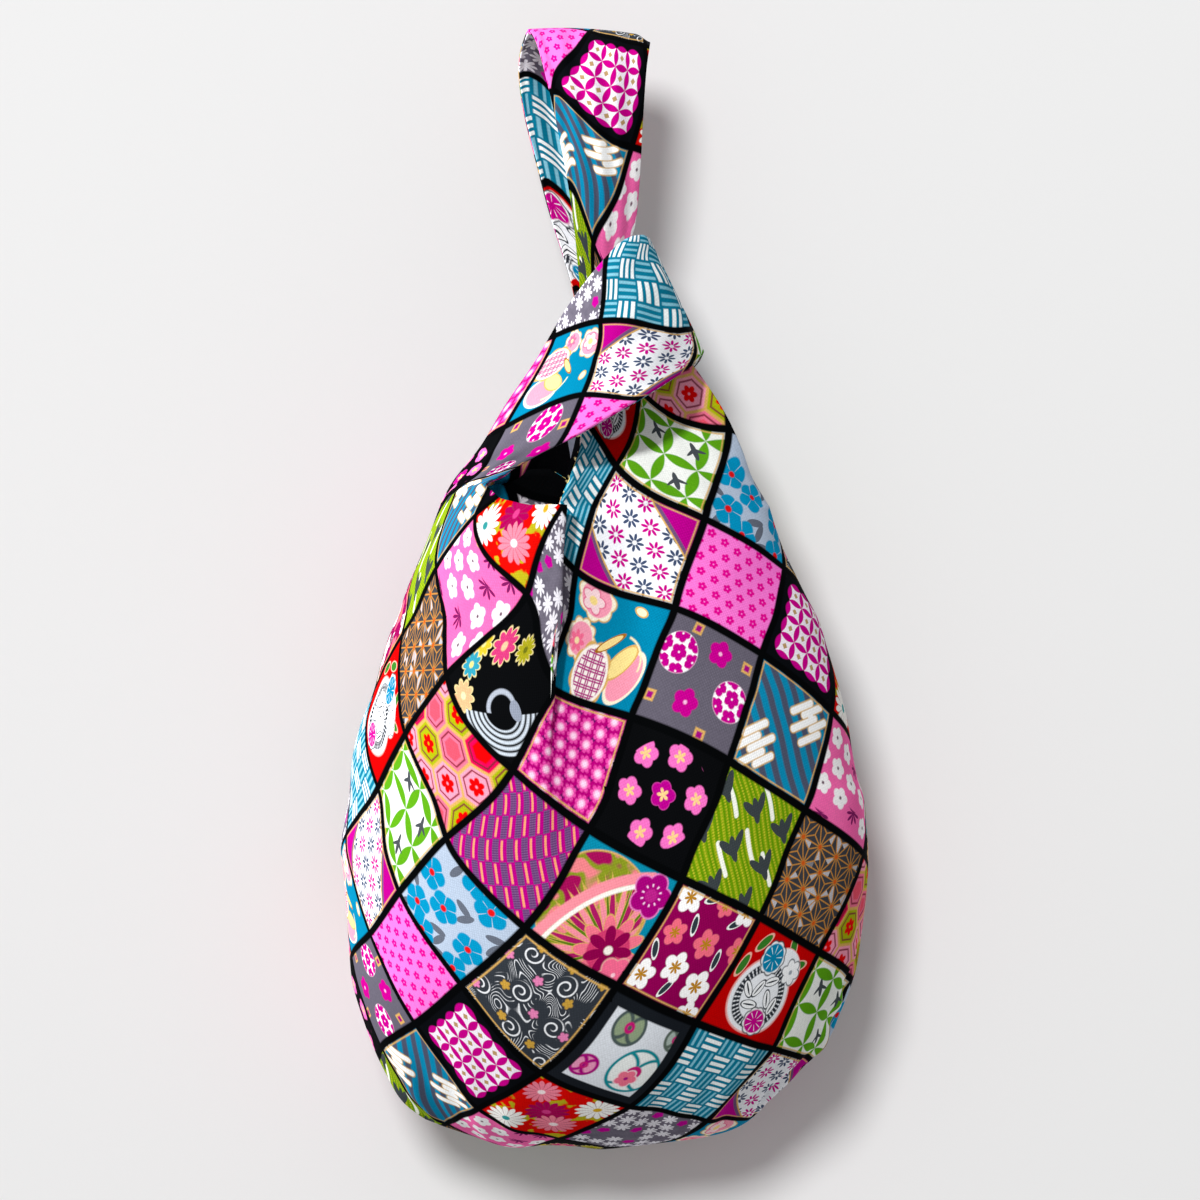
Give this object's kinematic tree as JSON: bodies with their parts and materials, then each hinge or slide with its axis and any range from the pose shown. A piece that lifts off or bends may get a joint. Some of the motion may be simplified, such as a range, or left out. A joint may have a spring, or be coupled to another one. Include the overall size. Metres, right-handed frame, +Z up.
{
  "type": "knot bag",
  "caption": "Soft cotton knot bag in a patchwork kimono-style print; its long handle loop is pulled through the short one and the bag hangs from it.",
  "frame": {"origin": "Underside of the long handle loop's top, on the loop's middle, where it rests on a wrist, hook or rod.", "axes": "+Z up along the hanging bag, -Y out of the front panel, +X to the right seen from the front."},
  "size_m": [0.2416, 0.1159, 0.5137],
  "materials": {
    "outer_cotton": "printed plain-weave cotton",
    "lining_cotton": "printed plain-weave cotton"
  },
  "bodies": {
    "root": {"outer_front_panel": "outer_cotton", "outer_back_panel": "outer_cotton", "lining_front_panel": "lining_cotton", "lining_back_panel": "lining_cotton"}
  },
  "joints": []
}
